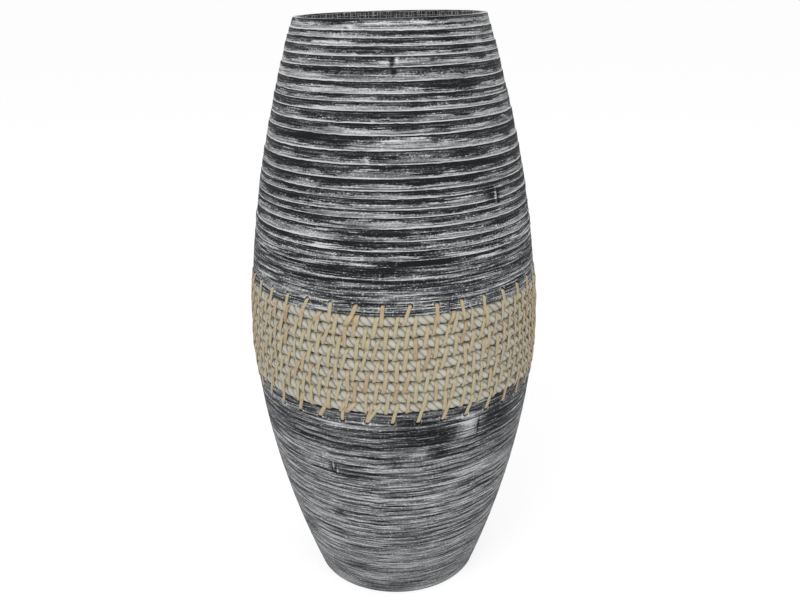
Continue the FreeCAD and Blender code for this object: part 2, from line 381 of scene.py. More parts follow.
def tube(rows, sides, length, across, corners):
    """Quads and paint coordinates of an open tube, row by row of points."""
    i = np.arange(rows - 1)[:, None]
    j = np.arange(sides)[None, :]
    faces = np.stack([(i + row) * sides + (j + side) % sides for row, side in corners], axis=2)
    uv = np.empty((rows - 1, sides, 4, 2))
    for corner, (row, side) in enumerate(corners):
        uv[:, :, corner, 0] = length[row:rows - 1 + row, None]
        uv[:, :, corner, 1] = across[None, side:sides + side]
    return faces.reshape(-1, 4), uv.reshape(-1, 2)


def joined(points, faces):
    """Points and quads of many parts as one."""
    starts = np.cumsum([0] + [len(part) for part in points])
    return np.vstack(points), np.vstack([part + start for part, start in zip(faces, starts)])


def add_mesh(name, points, faces, material, uv=None, values=None, sharp=None):
    """A mesh object from arrays of points and quads, riding on the vase."""
    mesh = bpy.data.meshes.new(name)
    mesh.from_pydata(points.tolist(), [], faces.tolist())
    mesh.update()
    if uv is not None:
        layer = mesh.uv_layers.new(name="Paint")
        layer.data.foreach_set("uv", uv.astype(np.float32).ravel())
    for key, data in (values or {}).items():
        mesh.attributes.new(key, "FLOAT", "POINT").data.foreach_set("value", data.astype(np.float32))
    mesh.shade_smooth()
    if sharp is not None:
        mesh.set_sharp_from_angle(angle=math.radians(sharp))
    mesh.materials.append(material)
    piece = bpy.data.objects.new(name, mesh)
    bpy.context.collection.objects.link(piece)
    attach(piece, "root")
    return piece


def colour(red, green, blue):
    """Linear colour from the 0 to 255 values of a picture."""
    def linear(c):
        c = c / 255
        return c / 12.92 if c <= 0.04045 else ((c + 0.055) / 1.055) ** 2.4
    return (linear(red), linear(green), linear(blue), 1)


# Materials

class Nodes:
    """Short hand for building the node tree of a material or a world."""

    def __init__(self, owner, cleared=False):
        owner.use_nodes = True
        self.owner = owner
        self.tree = owner.node_tree
        if cleared:
            self.tree.nodes.clear()

    def put(self, socket, value):
        """Links a socket to another, or sets its value."""
        if isinstance(value, bpy.types.NodeSocket):
            self.tree.links.new(value, socket)
        else:
            socket.default_value = value

    def new(self, kind, **settings):
        node = self.tree.nodes.new(kind)
        for key, value in settings.items():
            setattr(node, key, value)
        return node

    def filled(self, kind, *values, **settings):
        """First output, if any, of a new node with its first sockets set or linked in turn."""
        node = self.new(kind, **settings)
        for socket, value in zip(node.inputs, values):
            self.put(socket, value)
        return node.outputs[0] if node.outputs else None

    def math(self, operation, a, b=0.0, *c):
        return self.filled("ShaderNodeMath", a, b, *c, operation=operation)

    def place(self):
        return self.new("ShaderNodeTexCoord").outputs["Object"]

    def split(self, vector):
        node = self.new("ShaderNodeSeparateXYZ")
        self.put(node.inputs[0], vector)
        return node.outputs

    def join(self, x, y, z):
        return self.filled("ShaderNodeCombineXYZ", x, y, z)

    def value(self, name):
        """A value that the mesh holds at its points."""
        return self.new("ShaderNodeAttribute", attribute_name=name).outputs["Fac"]

    def uv(self):
        return self.split(self.new("ShaderNodeUVMap", uv_map="Paint").outputs[0])

    def noise(self, vector, detail=2.0, rough=0.5, scale=1.0):
        """Noise from about -1 to 1 round 0."""
        node = self.new("ShaderNodeTexNoise")
        for key, value in (("Vector", vector), ("Scale", scale), ("Detail", detail), ("Roughness", rough)):
            self.put(node.inputs[key], value)
        return self.math("MULTIPLY_ADD", node.outputs["Fac"], 5.0, -2.5)

    def sum(self, *terms):
        """Sum of (socket, share) pairs."""
        total = 0.0
        for socket, share in terms:
            total = self.math("MULTIPLY_ADD", socket, share, total)
        return total

    def step(self, low, high, value):
        """Smooth step from 0 at low to 1 at high."""
        node = self.new("ShaderNodeMapRange", interpolation_type="SMOOTHSTEP")
        self.put(node.inputs["Value"], value)
        self.put(node.inputs["From Min"], low)
        self.put(node.inputs["From Max"], high)
        return node.outputs[0]

    def ramp(self, value, shades):
        """Colour ramp through (place, picture colour) pairs."""
        node = self.new("ShaderNodeValToRGB")
        self.put(node.inputs[0], value)
        while len(node.color_ramp.elements) < len(shades):
            node.color_ramp.elements.new(0.5)
        for element, (place, shade) in zip(node.color_ramp.elements, shades):
            element.position = place
            element.color = colour(*shade)
        return node.outputs["Color"]

    def mix(self, share, first, second):
        node = self.new("ShaderNodeMix", data_type="RGBA")
        self.put(node.inputs["Factor"], share)
        self.put(node.inputs["A"], first)
        self.put(node.inputs["B"], second)
        return node.outputs["Result"]

    def finish(self, gloss, shade, height, distance, strength=1.0):
        """The material with its roughness, specular level, colour, and bump of a depth in metres."""
        sockets = self.tree.nodes["Principled BSDF"].inputs
        sockets["Roughness"].default_value, sockets["Specular IOR Level"].default_value = gloss
        self.put(sockets["Base Color"], shade)
        bump = self.new("ShaderNodeBump")
        bump.inputs["Distance"].default_value = distance
        bump.inputs["Strength"].default_value = strength
        self.put(bump.inputs["Height"], height)
        self.put(sockets["Normal"], bump.outputs[0])
        return self.owner


def brushed_paint():
    """Black paint brushed over with white, which stays at the foot of each turn, with painted shadow under
    each ledge and painted shade above each joint.
    """
    n = Nodes(bpy.data.materials.new("brushed_paint"))
    x, y, z = n.split(n.place())
    turn, height, _ = n.uv()

    def spread(across, third, detail, rough):
        around = [n.math("MULTIPLY", place, across) for place in (x, y)]
        return n.noise(n.join(*around, third), detail, rough)

    def streak(across, up, detail, rough, shift):
        return spread(across, n.math("MULTIPLY_ADD", z, up, shift), detail, rough)

    def along_turn(across, number, rate):
        return spread(across, n.math("MULTIPLY", number, rate), 3.0, 0.65)

    def fade(low, high, value):
        return n.math("SUBTRACT", 1.0, n.step(low, high, value))

    patch, stroke, line, thread, fibre, speck = (streak(*noise) for noise in PAINT_NOISES)
    dots = n.step(0.42, 0.85, speck)
    cuts = n.step(0.18, 0.42, line)
    glints = n.step(0.24, 0.48, thread)

    # White on a stepped turn: a ragged band from its crisp foot upwards, and painted shadow at the top of
    # each face, just under the next turn's ledge
    ragged = n.sum((along_turn(13, turn, 3.7), 0.36), (stroke, 0.14), (fibre, 0.16), (speck, 0.08))
    near = n.math("SUBTRACT", height, n.math("ADD", ragged, 0.46))
    solid = fade(-0.12, 0.08, near)
    faint = fade(-0.1, 0.55, near)
    crisp = fade(0.05, 0.12, height)
    # Painted shadow at the top of each face, just under the next turn's ledge
    ledge_shadow = n.step(0.90, 0.95, height)
    steps = n.sum((solid, 0.45), (faint, 0.10), (crisp, 0.42), (ledge_shadow, -0.38))
    steps = n.math("MULTIPLY", n.math("ADD", steps, -0.30), n.value("terrace"))

    # Joints of the sanded turns, dark below and fading upwards, broken along their length: a dark joint line,
    # and painted shade of a step fading up from it
    course = n.value("course")
    joint = fade(0.14, 0.5, n.math("FRACT", course))
    broken = n.sum((along_turn(16, n.math("FLOOR", course), 2.3), 0.6), (fibre, 0.35), (speck, 0.25))
    joint = n.math("MULTIPLY", joint, n.step(-0.35, 0.35, broken))
    joint = n.math("MULTIPLY", joint, n.value("joint"))

    wild = n.sum((patch, 0.11), (stroke, 0.10), (cuts, -0.34), (glints, 0.28),
                 (fibre, 0.16), (speck, 0.10), (dots, 0.28), (joint, -0.50))
    white = n.math("ADD", n.math("MULTIPLY_ADD", wild, n.value("contrast"), n.value("wash")), steps)

    # Bare bamboo inside the stitch holes, white dust round them
    bare = n.value("bare")
    white = n.math("MULTIPLY_ADD", n.math("MINIMUM", bare, 0.0), -0.35, white)
    raw = n.ramp(n.math("MULTIPLY_ADD", fibre, 0.2, 0.5), BARE_SHADES)
    shade = n.mix(n.math("MAXIMUM", bare, 0.0), n.ramp(white, PAINT_SHADES), raw)
    relief = n.sum((stroke, 0.3), (line, 0.35), (fibre, 0.35), (speck, 0.2))
    return n.finish((0.6, 0.12), shade, relief, 0.3 * MM)


def twisted_rope():
    """Pale paper-like rope, each strand with its own fine lines, and painted shade in the grooves between the
    strands.
    """
    n = Nodes(bpy.data.materials.new("twisted_rope"))
    along, lobe, _ = n.uv()
    groove_shade = n.value("groove_shade")
    lines = n.noise(n.join(n.math("MULTIPLY", along, 90), n.math("MULTIPLY", lobe, 26), 0.0), 2.0, 0.6)
    blotch = n.noise(n.place(), 2.0, 0.5, 60.0)
    # Painted shade: the grooves between strands darkened
    tone = n.math("ADD", n.math("MULTIPLY_ADD", groove_shade, -0.62, 0.72), n.sum((lines, 0.11), (blotch, 0.10)))
    return n.finish((0.75, 0.2), n.ramp(tone, ROPE_SHADES), lines, 0.2 * MM, 0.6)


def split_cane():
    """Cream to tan cane with fine lines along it, darker at its edges: a browner edge, and painted shade
    along it.
    """
    n = Nodes(bpy.data.materials.new("split_cane"))
    along, across, _ = n.uv()
    tone = n.value("tone")
    lines = n.noise(n.join(n.math("MULTIPLY", along, 60), n.math("MULTIPLY", across, 9),
                           n.math("MULTIPLY", tone, 50)), 2.0, 0.6)
    stain = n.noise(n.place(), 2.0, 0.5, 90.0)
    shade = n.ramp(n.math("ADD", tone, n.sum((lines, 0.14), (stain, 0.15))), CANE_SHADES)
    # Darker edges: the cane's browner edge, and painted shade along it
    edge = n.step(0.36, 0.52, n.math("ABSOLUTE", n.math("SUBTRACT", across, 0.5)))
    shade = n.mix(n.math("MULTIPLY", edge, 0.45), shade, colour(*CANE_EDGE_AND_SHADE))
    return n.finish((0.45, 0.4), shade, lines, 0.1 * MM, 0.6)


def dusty_gauze():
    """Gauze threads, paint-stained."""
    n = Nodes(bpy.data.materials.new("dusty_gauze"))
    stain = n.noise(n.place(), 3.0, 0.6, 220.0)
    shade = n.ramp(n.math("MULTIPLY_ADD", stain, 0.5, 0.5), GAUZE_SHADES)
    return n.finish((0.8, 0.2), shade, stain, 0.1 * MM)


# Wall strips

def marked(theta, z):
    """Lift of the surface and change in whiteness that the marks make."""
    lift = np.zeros(np.broadcast(theta, z).shape)
    whiter = np.zeros_like(lift)
    for degrees, height, half_width, half_height, rise, change in MARKS:
        away = np.angle(np.exp(1j * (theta - FRONT - math.radians(degrees))))
        across = away * wall_radius(height * MM) / half_width / MM
        up = (z - height * MM) / half_height / MM
        size = np.exp(-(across ** 2 + up ** 2) ** MARK_EDGE)
        lift += size * rise * MM
        whiter += size * change
    return lift, whiter


def paint_values(theta, z):
    """How white, how strong, how stepped and how jointed the paint is at each point."""
    stray, fray = COURSE_STRAYS
    course = z / SANDED_PITCH + stray * wave(theta, COURSE_WAVE) + fray * wave(theta, COURSE_FRAY)
    return {
        "wash": against(z, WASH) + marked(theta, z)[1],
        "contrast": against(z, CONTRAST),
        "terrace": against(z, TERRACE),
        "joint": against(z, JOINT),
        "course": course,
    }


def node_points(node):
    """Radius and height of every vertex of a CAD node."""
    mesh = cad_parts[node].data
    points = np.empty(len(mesh.vertices) * 3)
    mesh.vertices.foreach_get("co", points)
    points = points.reshape(-1, 3)
    return np.hypot(points[:, 0], points[:, 1]), points[:, 2]


def turn_edges(node):
    """Heights of the turns' edges, read from the CAD strip, to a hundredth of a millimetre."""
    radius, z = node_points(node)
    return sorted(set(np.round(z[radius > wall_radius(z) - STEP_REACH], 5)))


def inside_radii(node):
    """Inside radius at the bottom and the top of a CAD strip."""
    radius, z = node_points(node)
    near = RIM_SLANT + 0.1 * MM
    return radius[z < z.min() + near].min(), radius[z > z.max() - near].min()


class Ring:
    """Rows of points round the axis, joined to a closed ring, with the paint's turn and height."""

    def __init__(self, theta):
        self.theta = theta
        self.rows = []
        self.bands = []

    def add(self, radius, z, band, inside=0.0, turned=0.0, bare=0.0):
        """A row; inside is how white it is where it is hidden, 0 where it isn't."""
        flat = 0 * self.theta
        self.rows.append((radius + flat, z + flat, self.theta + turned, inside + flat, bare + flat))
        self.bands.append(band)

    def piece(self, name, material, node, sharp=SMOOTH_ANGLE):
        """The ring as a piece that replaces a CAD strip."""
        radius, z, theta, inside, bare = (np.array(part) for part in zip(*self.rows))
        count, columns = radius.shape
        j = np.arange(columns)
        k = (j + 1) % columns
        faces = []
        uv = []
        for i, (turn, low, high) in enumerate(self.bands):
            after = (i + 1) % count
            quads = [i * columns + j, i * columns + k, after * columns + k, after * columns + j]
            faces.append(np.stack(quads, axis=1))
            corners = np.array([[turn, low], [turn, low], [turn, high], [turn, high]])
            uv.append(np.broadcast_to(corners, (columns, 4, 2)))
        values = paint_values(theta.ravel(), z.ravel())
        hidden = inside.ravel() > 0
        values["wash"] = np.where(hidden, inside.ravel(), values["wash"])
        for key, value in (("contrast", HIDDEN_CONTRAST), ("terrace", 0.0), ("joint", 0.0)):
            values[key] = np.where(hidden, value, values[key])
        values["bare"] = bare.ravel()
        points = polar(radius, theta, z).reshape(-1, 3)
        piece = add_mesh(name, points, np.concatenate(faces), material,
                         np.concatenate(uv).reshape(-1, 2), values, sharp)
        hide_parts(node)


def even_angles(count):
    """Angles all round the axis."""
    return np.arange(count) / count * TAU


def edge_stray(theta, turn):
    """How far a turn's edge strays from level."""
    return EDGE_STRAY * wave(theta, EDGE_WAVE, turn) + EDGE_CHIP * wave(theta, CHIP_WAVE, turn)


def turn_face(ring, turn, radius, taper, low, high, at_rim):
    """Rows up the leaning face of one turn, between its two edges."""
    shown = TOP_TURN_SHOWN if at_rim else 1.0
    for share, after in zip(FACE_SHARES, FACE_SHARES[1:] + (None,)):
        inset = EDGE_ROUND * smooth(EDGE_ROUND_START, 1.0, share) + TILT_SHARE * (share - 0.5) * taper
        if at_rim:
            inset = inset + RIM_ROUND * smooth(RIM_ROUND_START, 1.0, share) ** 1.5
        z = low + (high - low) * share
        number = turn * FACE_SEEDS + int(share * (FACE_SEEDS - 1))
        relief = FACE_RELIEF * wave(ring.theta, FACE_WAVE, number) + marked(ring.theta, z)[0]
        band = (turn + 1, 0.0, 0.0) if after is None else (turn, share * shown, after * shown)
        ring.add(radius - inset + relief, z, band)


def terrace_piece(node, first_turn, material):
    """One stepped strip: upright faces, each turn set in behind the one below."""
    theta = even_angles(COLUMNS)
    ring = Ring(theta)
    levels = turn_edges(node)
    top_strip = levels[-1] > VASE_HEIGHT - RIM_ZONE
    if top_strip:
        levels = [z for z in levels if z < VASE_HEIGHT - RIM_ZONE] + [VASE_HEIGHT]
    count = len(levels) - 1
    for i, (bottom, top) in enumerate(zip(levels, levels[1:])):
        turn = first_turn + i
        uppermost = i == count - 1
        at_rim = top_strip and uppermost
        radius = (wall_radius(bottom) + wall_radius(top)) / 2 + TURN_WOBBLE * wave(theta, TURN_WAVE, turn)
        low = bottom + (edge_stray(theta, turn) if i else 0)
        high = top + (0 if uppermost else edge_stray(theta, turn + 1))
        if at_rim:
            high = rim_height(theta, radius)
        taper = wall_radius(bottom) - wall_radius(top)
        turn_face(ring, turn, radius, taper, low, high, at_rim)
    inner_low, inner_high = inside_radii(node)
    middle = (levels[0] + levels[-1]) / 2
    end = rim_height(theta, inner_high) if top_strip else levels[-1]
    edge_white, below_white = (RIM_EDGE_WHITE, UNDER_RIM_WHITE) if top_strip else (JOINT_WHITE, INSIDE_WHITE)
    ring.add(inner_high, end, INSIDE_BAND, edge_white)
    ring.add(inner_high, end - UNDER_RIM_DEPTH, INSIDE_BAND, below_white)
    for radius, z in ((inner_high, middle), (inner_low, middle), (inner_low, levels[0])):
        ring.add(radius, z, INSIDE_BAND, INSIDE_WHITE)
    ring.piece("dressed_" + node, material, node)
    return first_turn + count


def hole_columns(hole_z, count, turn):
    """Angles of a ring's columns, close together at each of the stitch holes."""
    step = TAU / count
    pitch = step * float(wall_radius(hole_z))
    near = HOLE_RADIUS * np.arange(HOLE_STEPS + 1) / HOLE_STEPS
    far = np.linspace(HOLE_RADIUS, pitch / 2, COLUMNS_BETWEEN)[1:]
    side = np.concatenate([near, far])[:-1]
    offsets = np.concatenate([-side[:0:-1], side, [pitch / 2]]) / pitch
    return (FRONT + turn + (np.arange(count)[:, None] + offsets[None, :]) * step).ravel()


def hole_rows(heights, hole_z):
    """Heights of a ring's rows, made anew round the stitch holes."""
    near = [hole_z + HOLE_RADIUS * k / HOLE_STEPS for k in range(-HOLE_STEPS, HOLE_STEPS + 1)]
    near += [hole_z + way * HOLE_RADIUS * size for size in (HOLE_LIP, HOLE_EASE) for way in (-1, 1)]
    return sorted([z for z in heights if abs(z - hole_z) > HOLE_RADIUS * 2] + near)


def bore_holes(theta, z, hole_z, count, turn):
    """Turn of the columns, height, depth and bareness that make round holes in a ring."""
    step = TAU / count
    radius = float(wall_radius(hole_z))
    away = (theta - FRONT - turn + step / 2) % step - step / 2
    across = away * radius
    up = z - hole_z + 0 * across
    square = np.maximum(np.abs(across), np.abs(up))
    far = np.maximum(np.hypot(across, up), 1e-9)
    share = smooth(HOLE_RADIUS * HOLE_EASE, HOLE_RADIUS, square)
    deep = square < HOLE_RADIUS * BORE_START
    bored = HOLE_RADIUS * BORE_SIZE * np.round(square / HOLE_RADIUS * HOLE_STEPS) / (HOLE_STEPS - 1)
    reach = np.where(deep, bored, square)
    factor = 1 + (reach / far - 1) * share
    dust = np.exp(-((square / HOLE_RADIUS - DUST_PLACE) / DUST_WIDTH) ** 2)
    bare = smooth(1.0, BARE_START, square / HOLE_RADIUS) - dust
    return across * (factor - 1) / radius, hole_z + up * factor, np.where(deep, HOLE_DEPTH, 0.0), bare


def close_strip(ring, node, material):
    """The inside of a strip that isn't stepped, and the strip as a piece."""
    low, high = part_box(node)
    inner_low, inner_high = inside_radii(node)
    ring.add(inner_high, high[2], INSIDE_BAND, JOINT_WHITE)
    ring.add(inner_low, low[2], INSIDE_BAND, JOINT_WHITE)
    ring.piece("dressed_" + node, material, node)


def smooth_piece(node, first_turn, material, holes=None):
    """One sanded strip, its turns only just to be felt, with the holes for one edge's stitches."""
    low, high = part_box(node)
    bottom, top = low[2], high[2]
    heights = list(np.linspace(bottom, top, max(2, round((top - bottom) / ROW_STEP)) + 1))
    theta = even_angles(COLUMNS)
    if holes:
        theta = hole_columns(*holes)
        heights = hole_rows(heights, holes[0])
    ring = Ring(theta)
    turns = max(1, round((top - bottom) / SANDED_PITCH))
    edges = np.linspace(bottom, top, turns + 1)
    for z, after in zip(heights, heights[1:] + [None]):
        ease = min(1.0, min(z - bottom, top - z) / SANDED_EASE)
        relief = SANDED_RELIEF * ease * wave(theta, SANDED_WAVE, int(z / ROW_STEP)) + marked(theta, z)[0]
        shift, level, depth, bare = bore_holes(theta, z, *holes) if holes else (0.0, z, 0.0, 0.0)
        if after is None:
            band = (first_turn + turns, 0.5, 0.5)
        else:
            turn = min(turns - 1, int(np.searchsorted(edges, z + 1e-6) - 1))
            span = edges[turn + 1] - edges[turn]
            band = (first_turn + turn, (z - edges[turn]) / span, min(1.0, (after - edges[turn]) / span))
        ring.add(wall_radius(z) + relief - depth, level, band, 0.0, shift, bare)
    close_strip(ring, node, material)
    return first_turn + turns


def seat_piece(node, material):
    """Part of the recess floor behind the rope."""
    ring = Ring(even_angles(COLUMNS // 2))
    low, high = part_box(node)
    for z in np.linspace(low[2], high[2], SEAT_ROWS):
        ring.add(wall_radius(z) + ROPE_PROUD - 2 * ROPE_RADIUS - SEAT_GAP, z, SEAT_BAND, SEAT_WHITE)
    close_strip(ring, node, material)


# Rope

def rope_state(along):
    """Centre line (radius, z) and size of the rope at angles counted on from the -X side."""
    along = np.asarray(along, dtype=float)
    half = np.floor(np.clip(along, 0, ROPE_END - 1e-9) / math.pi).astype(int)
    row = half // 2
    climbing = half % 2 == 1
    angle = along - half * math.pi
    z = BAND_BOTTOM + ROPE_RADIUS + row * ROW_PITCH
    z = z + np.where(climbing, ROW_PITCH * (1 - np.cos(angle)) / 2, 0)
    size = np.ones_like(along)
    tail = along < 0
    size = np.where(tail, TAIL_SIZE * (1 + np.cos(along)) / 2, size)
    z = np.where(tail, BAND_BOTTOM + ROPE_RADIUS * size, z)
    tip = along > ROPE_END
    size = np.where(tip, TAIL_SIZE * (1 + np.cos(along - ROPE_END)) / 2, size)
    z = np.where(tip, BAND_TOP - ROPE_RADIUS * size, z)
    radius = wall_radius(z) + ROPE_PROUD - ROPE_RADIUS - (1 - size) * TAIL_SINK
    sway = wave(along / ROPE_ROWS, SWAY_WAVE)
    push = wave(along / ROPE_ROWS, PUSH_WAVE)
    return radius + ROPE_PUSH * push, z + ROPE_SWAY * sway * size, size


def rope_piece(material):
    """The whole three-strand rope as one fluted tube, wound as the CAD's is."""
    count = int((ROPE_END + 2 * TAIL_TURN) * BELLY_RADIUS / ROPE_STEP)
    along = np.linspace(-TAIL_TURN, ROPE_END + TAIL_TURN, count)
    radius, z, size = rope_state(along)
    theta = along + math.pi
    centre = polar(radius, theta, z)
    outward = polar(1.0, theta, 0.0)
    up = np.array([0, 0, 1.0])
    length = path_length(centre)
    phase = -TAU * length / ROPE_LAY
    start = np.repeat(np.arange(STRANDS) * TAU / STRANDS, len(LOBE_ANGLES))
    off = np.tile(np.radians(LOBE_ANGLES), STRANDS)
    reach = STRAND_REACH * np.cos(off) + np.sqrt(STRAND_SHARE ** 2 - (STRAND_REACH * np.sin(off)) ** 2)
    angle = phase[:, None] + (start + off)[None, :]
    section = (ROPE_RADIUS * ROPE_FILL * size)[:, None] * reach[None, :]
    points = (centre[:, None, :] + (section * np.cos(angle))[:, :, None] * outward[:, None, :]
              + (section * np.sin(angle))[:, :, None] * up)
    sides = len(off)
    strand = np.arange(sides + 1) / len(LOBE_ANGLES)
    faces, uv = tube(count, sides, length, strand, ((0, 0), (1, 0), (1, 1), (0, 1)))
    # Painted shade in the grooves, strongest where two strands meet
    depth = np.clip(np.abs(off) / np.abs(off).max(), 0, 1) ** 6
    values = {"groove_shade": np.tile(depth, count)}
    piece = add_mesh("wound_rope", points.reshape(-1, 3), faces, material, uv, values)
    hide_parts("rope_band")


# Cane

def bent(points):
    """Smooth curve through a few points."""
    points = np.asarray(points, dtype=float)
    padded = np.vstack([2 * points[0] - points[1], points, 2 * points[-1] - points[-2]])
    out = []
    for i in range(1, len(padded) - 2):
        a, b, c, d = padded[i - 1:i + 3]
        t = np.linspace(0, 1, CANE_SAMPLES, endpoint=False)[:, None]
        out.append(0.5 * (2 * b + (c - a) * t + (2 * a - 5 * b + 4 * c - d) * t ** 2
                          + (3 * b - a - 3 * c + d) * t ** 3))
    out.append(padded[-2][None, :])
    return np.vstack(out)


def cane(route, width, tone, spot):
    """Flat cane along (angle, radius, z) points, its face turned outwards."""
    theta, radius, z = bent(route).T
    centre = polar(radius, theta, z)
    tangent = unit(np.gradient(centre, axis=0))
    around = np.stack([-np.sin(theta), np.cos(theta), 0 * theta], axis=1)
    side = unit(around - tangent * (around * tangent).sum(axis=1)[:, None])
    face = np.cross(side, tangent)
    if (face * polar(1.0, theta, 0.0)).sum() < 0:
        side, face = -side, -face
    rows = [centre + side * (a * width / 2) + face * (b * CANE_THICKNESS) for a, b in CANE_SECTION]
    points = np.stack(rows, axis=1)
    n, sides = points.shape[:2]
    faces, uv = tube(n, sides, path_length(centre), CANE_ACROSS, ((0, 0), (0, 1), (1, 1), (1, 0)))
    way = np.linspace(0, 1, n) if spot > 0 else np.linspace(1, 0, n)
    tones = tone + abs(spot) * smooth(SPOT_REACH, 0.0, way)
    return points.reshape(-1, 3), faces, uv, np.repeat(tones, sides)


def cane_piece(name, canes, material, replaces=None):
    """Many canes as one piece."""
    points, faces, uvs, tones = zip(*canes)
    values = {"tone": np.concatenate(tones)}
    piece = add_mesh(name, *joined(points, faces), material, np.vstack(uvs), values, FINE_SMOOTH_ANGLE)
    if replaces:
        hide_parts(replaces)


def rope_at(along):
    """Radius, height and size of the rope at one angle."""
    return [float(value) for value in rope_state(along)]


def over_rope(rope, degrees, clear):
    """Radius and height of a point round the outside of one rope row."""
    radius, z, size = rope
    reach = ROPE_RADIUS * size + clear
    return radius + reach * math.cos(math.radians(degrees)), z + reach * math.sin(math.radians(degrees))


def slope_of(lean):
    """Sideways way for each metre down, from a lean in degrees."""
    return math.tan(math.radians(lean))


def pick_tone(rng):
    """Mostly cream canes, some tan, a few with a reddish spot at a bend."""
    tone = rng.choice(CANE_TONES, p=TONE_SHARES) + rng.normal(0, TONE_SPREAD)
    return float(np.clip(tone, 0, 1)), float(rng.choice(SPOTS, p=SPOT_SHARES))


def row_cane(along, rng):
    """A stitch over two neighbouring rows, from the gap above to the gap below."""
    lower = rope_at(along)
    upper = rope_at(along + TAU)
    slant = slope_of(rng.normal(*ROW_LEANS))
    clear = CANE_CLEAR + CANE_THICKNESS / 2 + rng.uniform(0, ROW_LIFT) * MM
    middle = (lower[1] + upper[1]) / 2
    hook = rng.uniform(*ROW_HOOKS) * MM
    route = []
    for rope, degrees, extra in ((upper, 84, hook), (upper, 52, hook * HOOK_EASE), (upper, 20, 0),
                                 (upper, -8, 0), (lower, 8, 0), (lower, -25, 0), (lower, -56, 0),
                                 (lower, -84, -ROW_END_SHIFT)):
        radius, z = over_rope(rope, degrees, clear)
        angle = along + math.pi + ((z - middle) * slant + extra) / radius
        route.append((angle, radius - (TUCK if abs(degrees) > TUCK_ANGLE else 0), z))
    return cane(route, CANE_WIDTH * rng.uniform(*ROW_WIDTHS), *pick_tone(rng))


def wrap_cane(degrees, row, lean, width, rng):
    """A short cane round a single row, at degrees to the right of the front."""
    along = (math.radians(degrees) + FRONT - math.pi) % TAU + row * TAU
    rope = rope_at(along)
    route = []
    for around in WRAP_ANGLES:
        radius, z = over_rope(rope, around, CANE_CLEAR + WRAP_LIFT)
        angle = along + math.pi + (z - rope[1]) * slope_of(lean) / radius
        route.append((angle, radius - (TUCK if abs(around) > TUCK_ANGLE else 0), z))
    return cane(route, width * MM, *pick_tone(rng))


def edge_cane(angle, hole, upper, rng, lean):
    """A stitch over the edge row, from its hole into the gap beyond the row."""
    way = 1 if upper else -1
    along = (angle - math.pi) % TAU
    if upper:
        along += (ROPE_ROWS - 1) * TAU
        if along > ROPE_END:
            along -= TAU
    rope = rope_at(along)
    lip = (BAND_TOP if upper else BAND_BOTTOM) + way * LIP_HEIGHT
    clear = CANE_CLEAR + CANE_THICKNESS / 2
    wall = float(wall_radius(hole))
    slope = slope_of(lean)
    route = [
        (angle, wall - END_DEPTH, hole + way * END_LIFT),
        (angle, wall - MOUTH_DEPTH, hole + way * MOUTH_LIFT),
        (angle - way * BEND_LENGTH * slope / wall, wall + clear + WALL_CLEAR, hole - way * BEND_LENGTH),
        (angle - (hole - lip) * slope / wall, float(wall_radius(lip)) + clear + WALL_CLEAR, lip),
    ]
    for degrees in EDGE_ANGLES:
        radius, z = over_rope(rope, way * degrees, clear)
        route.append((angle - (hole - z) * slope / wall, radius, z))
    last_angle, last_radius, last_z = route[-1]
    route[-1] = (last_angle, last_radius - EDGE_TUCK, last_z)
    return cane(route, CANE_WIDTH * rng.uniform(*EDGE_WIDTHS), *pick_tone(rng))


def row_stitches(material, rng):
    """The stitches between the inner rows, in several pieces, and the short canes."""
    along = -ROW_OVERRUN
    last = (2 * ROPE_ROWS - 3) * math.pi + ROW_OVERRUN
    canes = []
    while along < last:
        stray = rng.normal(0, ROW_STRAY) / BELLY_RADIUS
        canes.append(row_cane(along + ROW_START + stray, rng))
        along += TAU / ROW_STITCHES_PER_TURN
    for first in range(0, len(canes), PIECE_STITCHES):
        number = first // PIECE_STITCHES + 1
        cane_piece("row_stitches_%d" % number, canes[first:first + PIECE_STITCHES], material)
    cane_piece("short_wraps", [wrap_cane(*wrap, rng) for wrap in WRAPS], material)


def edge_stitches(upper, material, rng):
    """All the stitches of one edge, those in view leaning as in the photo."""
    name = "top_edge_stitches" if upper else "bottom_edge_stitches"
    hole, count, turn = TOP_HOLES if upper else BOTTOM_HOLES
    leans, before = TOP_LEANS if upper else BOTTOM_LEANS
    group = []
    for i in range(count):
        lean = rng.normal(*OTHER_LEANS)
        if i < len(leans):
            lean = leans[i]
        elif count - i <= len(before):
            lean = before[count - i - 1]
        group.append(edge_cane(FRONT + turn + i * TAU / count, hole, upper, rng, lean))
    if not upper:
        angle = FRONT + turn + DOUBLED_STITCH * TAU / count
        group.append(edge_cane(angle, hole, upper, rng, DOUBLED_LEAN))
    cane_piece("dressed_" + name, group, material, name)


# Mouth lining and base

def thread(route, closed):
    """Points and quads of one round thread along a route."""
    count = len(route)
    tangent = unit(np.roll(route, -1, 0) - np.roll(route, 1, 0) if closed else np.gradient(route, axis=0))
    outward = unit(route * np.array([1, 1, 0]))
    side = np.cross(tangent, outward)
    angle = even_angles(THREAD_SIDES)
    points = (route[:, None, :] + THREAD_RADIUS * np.cos(angle)[None, :, None] * outward[:, None, :]
              + THREAD_RADIUS * np.sin(angle)[None, :, None] * side[:, None, :])
    i = np.arange(count if closed else count - 1)[:, None]
    j = np.arange(THREAD_SIDES)[None, :]
    a = i * THREAD_SIDES
    b = ((i + 1) % count) * THREAD_SIDES
    k = (j + 1) % THREAD_SIDES
    faces = np.stack([a + j, b + j, b + k, a + k], axis=2)
    return points.reshape(-1, 3), faces.reshape(-1, 4)


